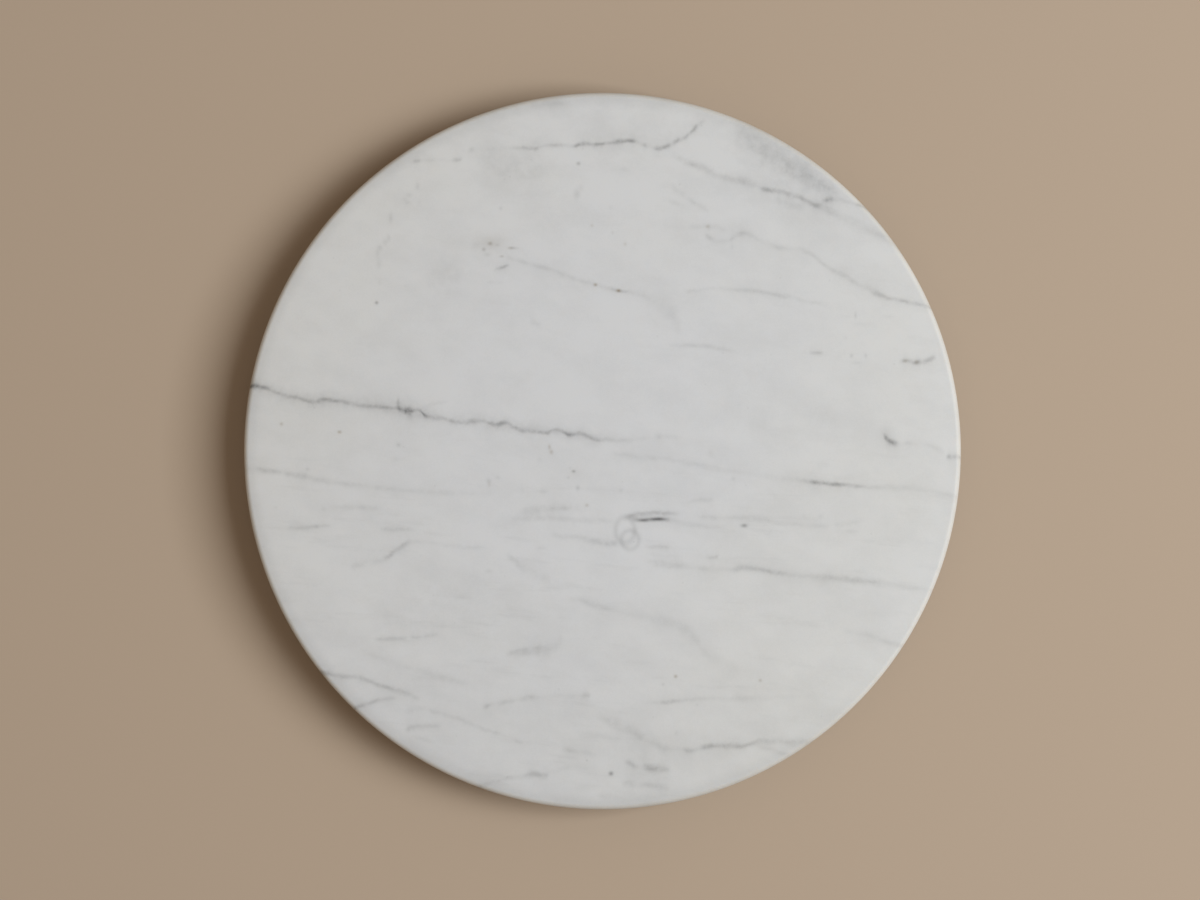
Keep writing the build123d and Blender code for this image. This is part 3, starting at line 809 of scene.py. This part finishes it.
def holed_sector(number, inside, outside, columns):
    """One sector of the underside round a blind hole: lines run straight from its outline towards the
    hole's axis, and stop at the hole's wall, which goes up to a flat end."""
    sweep = 2 * math.pi / HOLE_COUNT
    start = number * sweep
    end = start + sweep
    arc = start + sweep * np.arange(columns) / columns
    side = np.linspace(outside, inside, SECTOR_SIDE_STEPS + 1)[:-1]
    outer_arc = np.full(columns, outside)
    inner_arc = np.full(columns, inside)
    angle = np.concatenate((arc, np.full(len(side), end), end - (arc - start), np.full(len(side), start)))
    radius = np.concatenate((outer_arc, side, inner_arc, (outside + inside) - side))
    outline = np.stack((radius * np.cos(angle), radius * np.sin(angle)), axis=-1)
    middle = start + sweep / 2
    axis = HOLE_CIRCLE * np.array((math.cos(middle), math.sin(middle)))
    way = outline - axis
    way /= np.linalg.norm(way, axis=1, keepdims=True)
    wall = axis + HOLE_RADIUS * way
    share = np.linspace(0, 1, HOLE_FACE_RINGS)[:, None, None] ** 0.7
    face = outline + share * (wall - outline)
    rings = np.concatenate((face, wall[None], wall[None]))
    heights = np.array([SLAB_BOTTOM] * HOLE_FACE_RINGS + [(SLAB_BOTTOM + HOLE_TOP) / 2, HOLE_TOP])
    rows, count = rings.shape[:2]
    heights = np.broadcast_to(heights[:, None, None], (rows, count, 1))
    points = np.concatenate((rings, heights), axis=-1).reshape(-1, 3)
    points = np.concatenate((points, [(*axis, HOLE_TOP)]))
    top_ring = (rows - 1) * count + np.arange(count)
    return points, grid_faces(rows, count, close=True), fan_faces(rows * count, top_ring)


# Finishes of the ring bearing and its small parts

def satin_aluminium():
    """Satin aluminium with fine turning marks that run round the rings."""
    shader = Shader("satin_aluminium")
    x, y, z = shader.split(shader.place)
    radius = shader.math("SQRT", shader.math("MULTIPLY_ADD", x, x, shader.math("MULTIPLY", y, y)))
    section = shader.join(radius, z, shader.math("MULTIPLY", x, 0.01))
    marks = shader.noise(section, 5200.0, 2.0, 0.6)
    haze = shader.noise(shader.place, 45.0, 3.0)
    grain = shader.noise(shader.place, 9000.0, 1.0)
    bright_share = shader.math("MULTIPLY_ADD", marks, 0.7, shader.math("MULTIPLY", haze, 0.3))
    shader.set(Base_Color=shader.mix(bright_share, colour(196, 198, 200), colour(220, 221, 222)))
    dull = shader.math("ADD", marks, haze)
    shader.set(Metallic=1.0, Roughness=shader.spread(dull, 0.6, 1.4, 0.28, 0.44))
    relief = shader.math("MULTIPLY_ADD", grain, 0.25, marks)
    shader.set(Normal=shader.bump(relief, 0.012 * MM, 0.6))
    return shader.material


def bearing_steel():
    """Ground and polished steel of the balls, with faint lapping marks."""
    shader = Shader("bearing_steel")
    laps = shader.noise(shader.vector("MULTIPLY", shader.place, (1.0, 0.3, 1.0)), 2600.0, 4.0, 0.7)
    oil = shader.noise(shader.place, 260.0, 3.0)
    shader.set(Base_Color=shader.mix(oil, colour(186, 189, 193), colour(206, 207, 208)), Metallic=1.0)
    shader.set(Roughness=shader.spread(shader.math("MULTIPLY_ADD", laps, 0.5, oil), 0.5, 1.0, 0.09, 0.22))
    shader.set(Normal=shader.bump(laps, 0.002 * MM, 0.3))
    return shader.material


def plated_steel():
    """Zinc plated steel of the screws and the loading plug: grey with a cloudy, bluish bloom."""
    shader = Shader("plated_steel")
    bloom = shader.noise(shader.place, 420.0, 4.0, 0.6)
    spangle = shader.split(shader.cells(shader.place, 2400.0, "Color"))[0]
    shader.set(Base_Color=shader.mix(bloom, colour(176, 178, 180), colour(204, 208, 213)), Metallic=1.0)
    dull = shader.math("MULTIPLY_ADD", spangle, 0.4, bloom)
    shader.set(Roughness=shader.spread(dull, 0.4, 1.1, 0.24, 0.46))
    shader.set(Normal=shader.bump(shader.math("MULTIPLY_ADD", spangle, 0.3, bloom), 0.01 * MM, 0.5))
    return shader.material


def brass():
    """Turned brass of the threaded bushes, a little dulled."""
    shader = Shader("brass")
    marks = shader.noise(shader.join(z=shader.split(shader.place)[2]), 4200.0, 2.0)
    tarnish = shader.noise(shader.place, 330.0, 4.0, 0.6)
    shader.set(Base_Color=shader.mix(tarnish, colour(196, 160, 88), colour(222, 192, 122)), Metallic=1.0)
    shader.set(Roughness=shader.spread(shader.math("ADD", marks, tarnish), 0.6, 1.4, 0.26, 0.46))
    shader.set(Normal=shader.bump(marks, 0.01 * MM, 0.5))
    return shader.material


def natural_nylon():
    """Natural nylon of the ball cage: milky, with faint flow lines from moulding."""
    shader = Shader("natural_nylon")
    flow = shader.noise(shader.vector("MULTIPLY", shader.place, (1.0, 1.0, 5.0)), 160.0, 4.0, 0.6)
    grain = shader.noise(shader.place, 4200.0, 2.0)
    shader.set(Base_Color=shader.mix(flow, colour(224, 219, 204), colour(238, 235, 224)))
    shader.set(Roughness=shader.spread(flow, 0.3, 0.7, 0.38, 0.54))
    shader.set(Normal=shader.bump(grain, 0.015 * MM, 0.5))
    shader.set(Subsurface_Weight=0.3, Subsurface_Radius=(1.0, 0.9, 0.7), Subsurface_Scale=0.8 * MM)
    return shader.material


def clear_silicone():
    """Milky silicone of the cushion washers, with a soft moulded skin."""
    shader = Shader("clear_silicone")
    cloud = shader.noise(shader.place, 520.0, 3.0)
    skin = shader.noise(shader.place, 3600.0, 2.0)
    shader.set(Base_Color=shader.mix(cloud, colour(206, 210, 209), colour(226, 228, 226)))
    shader.set(Roughness=shader.spread(cloud, 0.3, 0.7, 0.34, 0.5))
    shader.set(Normal=shader.bump(skin, 0.015 * MM, 0.5))
    shader.set(Subsurface_Weight=0.5, Subsurface_Radius=(1.0, 1.0, 0.95), Subsurface_Scale=1.0 * MM)
    return shader.material


def black_rubber():
    """Moulded black rubber of the feet: a fine matt grain with a faint grey bloom."""
    shader = Shader("black_rubber")
    bloom = shader.noise(shader.place, 240.0, 4.0, 0.65)
    grain = shader.noise(shader.place, 5200.0, 3.0, 0.7)
    shader.set(Base_Color=shader.mix(bloom, colour(30, 30, 31), colour(52, 51, 50)))
    dull = shader.math("MULTIPLY_ADD", grain, 0.5, bloom)
    shader.set(Roughness=shader.spread(dull, 0.5, 1.0, 0.55, 0.8))
    shader.set(Normal=shader.bump(grain, 0.03 * MM, 0.6))
    return shader.material


# Which finish each solid of the bearing gets, by the start of its name
BEARING_FINISHES = {
    "inner_ring": satin_aluminium,
    "outer_ring": satin_aluminium,
    "ball_cage": natural_nylon,
    "ball_": bearing_steel,
    "ring_screws": plated_steel,
    "loading_plug": plated_steel,
    "thread_inserts": brass,
    "cushion_washer": clear_silicone,
    "foot_": black_rubber,
}


def dress_bearing():
    """Gives each solid that stays its finish, made once for all that share it."""
    made = {}
    for name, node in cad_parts.items():
        makers = [make for start, make in BEARING_FINISHES.items() if name.startswith(start)]
        if makers:
            finish = makers[0]
            made[finish] = made.get(finish) or finish()
            node.data.materials.clear()
            node.data.materials.append(made[finish])


# Stage

FLOOR = colour(178, 158.5, 137.5)
BACKDROP = colour(172, 153, 133)
# Distances in metres from the middle: where the floor runs into the backdrop, and where it ends
FLOOR_FADE_START, FLOOR_FADE_END = 0.6, 2.4
FLOOR_EDGE = 60.0
# Within this share of the slab's radius the floor lets light through
HIDDEN_SHARE = 0.8

# The lamp: sizes and distance in metres, power in watts
LAMP_WIDTH = 1.4
LAMP_LENGTH = 2.0
LAMP_DISTANCE = 3.25
LAMP_ELEVATION = math.radians(54)
LAMP_WATTS = 97.8
LAMP_COLOUR = (0.874, 0.937, 1.0)
EVEN_COLOUR = (1.0, 0.84, 0.69, 1.0)
EVEN_STRENGTH = 0.31

LENS_MM = 85.0
SENSOR_MM = 36.0


def seen_directly(tree):
    """One for the camera's rays and for those that a surface mirrors or lets through, zero for the rest."""
    rays = tree.nodes.new("ShaderNodeLightPath").outputs
    seen = rays["Is Camera Ray"]
    for other in ("Is Glossy Ray", "Is Transmission Ray"):
        either = tree.nodes.new("ShaderNodeMath")
        either.operation = "MAXIMUM"
        tree.links.new(seen, either.inputs[0])
        tree.links.new(rays[other], either.inputs[1])
        seen = either.outputs[0]
    return seen


def floor():
    """Plain pale floor under the turntable. Far off it runs into the even backdrop. It is clear from
    below, and where the slab hides it, it lets the light through that shows the underside."""
    shader = Shader("pale_floor")
    shader.set(Base_Color=FLOOR, Roughness=0.9)
    away = shader.add("ShaderNodeVectorMath", {0: shader.place}, operation="LENGTH").outputs["Value"]
    far = shader.spread(away, FLOOR_FADE_START, FLOOR_FADE_END)
    far = shader.math("MULTIPLY", far, seen_directly(shader.tree))
    backdrop = shader.add("ShaderNodeEmission", {"Color": BACKDROP})
    near = shader.surface.outputs[0]
    top = shader.add("ShaderNodeMixShader", {0: far, 1: near, 2: backdrop.outputs[0]})
    underneath = shader.add("ShaderNodeNewGeometry").outputs["Backfacing"]
    unseen = shader.math("SUBTRACT", 1.0, shader.add("ShaderNodeLightPath").outputs["Is Camera Ray"])
    hidden = shader.math("LESS_THAN", away, HIDDEN_SHARE * SLAB_RADIUS)
    hidden = shader.math("MULTIPLY", hidden, unseen)
    clear = shader.add("ShaderNodeBsdfTransparent")
    share = shader.math("MAXIMUM", underneath, hidden)
    both = shader.add("ShaderNodeMixShader", {0: share, 1: top.outputs[0], 2: clear.outputs[0]})
    shader.feed(shader.tree.nodes["Material Output"].inputs["Surface"], both.outputs[0])
    mesh = bpy.data.meshes.new("floor")
    corners = FLOOR_EDGE * np.array([(-1, -1, 0), (1, -1, 0), (1, 1, 0), (-1, 1, 0)])
    mesh.from_pydata(corners, [], [(0, 1, 2, 3)])
    mesh.materials.append(shader.material)
    piece = bpy.data.objects.new("floor", mesh)
    bpy.context.scene.collection.objects.link(piece)


def aim(thing, place, target):
    """Puts a lamp or camera at a place, looking at a target."""
    thing.location = place
    way = np.array(target) - np.array(place)
    thing.rotation_mode = "QUATERNION"
    thing.rotation_quaternion = Vector(way).to_track_quat("-Z", "Y")


def lights():
    """One large soft lamp from the right, and even light from all round, which together are white."""
    lamp = bpy.data.lights.new("soft_key", "AREA")
    lamp.shape = "RECTANGLE"
    lamp.size = LAMP_WIDTH
    lamp.size_y = LAMP_LENGTH
    lamp.energy = LAMP_WATTS
    lamp.color = LAMP_COLOUR
    key = bpy.data.objects.new("soft_key", lamp)
    bpy.context.scene.collection.objects.link(key)
    place = (LAMP_DISTANCE * math.cos(LAMP_ELEVATION), 0.0, LAMP_DISTANCE * math.sin(LAMP_ELEVATION))
    aim(key, place, (0, 0, SLAB_TOP))
    world = bpy.data.worlds.new("even_light")
    world.use_nodes = True
    tree = world.node_tree
    even = tree.nodes["Background"]
    even.inputs["Color"].default_value = EVEN_COLOUR
    even.inputs["Strength"].default_value = EVEN_STRENGTH
    backdrop = tree.nodes.new("ShaderNodeBackground")
    backdrop.inputs["Color"].default_value = BACKDROP
    both = tree.nodes.new("ShaderNodeMixShader")
    tree.links.new(seen_directly(tree), both.inputs[0])
    tree.links.new(even.outputs[0], both.inputs[1])
    tree.links.new(backdrop.outputs[0], both.inputs[2])
    tree.links.new(both.outputs[0], tree.nodes["World Output"].inputs["Surface"])
    bpy.context.scene.world = world


def camera():
    """Camera straight above, at the height where the slab fills the photograph's circle."""
    data = bpy.data.cameras.new("overhead")
    data.sensor_width = SENSOR_MM
    data.lens = LENS_MM
    view = bpy.data.objects.new("overhead", data)
    bpy.context.scene.collection.objects.link(view)
    height = PIXEL * PHOTO_WIDTH * LENS_MM / SENSOR_MM
    left = (SLAB_PIXEL_X - PHOTO_WIDTH / 2) * PIXEL
    up = (SLAB_PIXEL_Y - PHOTO_HEIGHT / 2) * PIXEL
    view.location = (-left, up, SLAB_TOP - EDGE_RADIUS + height)
    bpy.context.scene.camera = view


stone = slab(marble())
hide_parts("marble_top")
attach(stone, "turntable")
dress_bearing()
floor()
lights()
camera()
bpy.context.scene.view_settings.view_transform = "Standard"
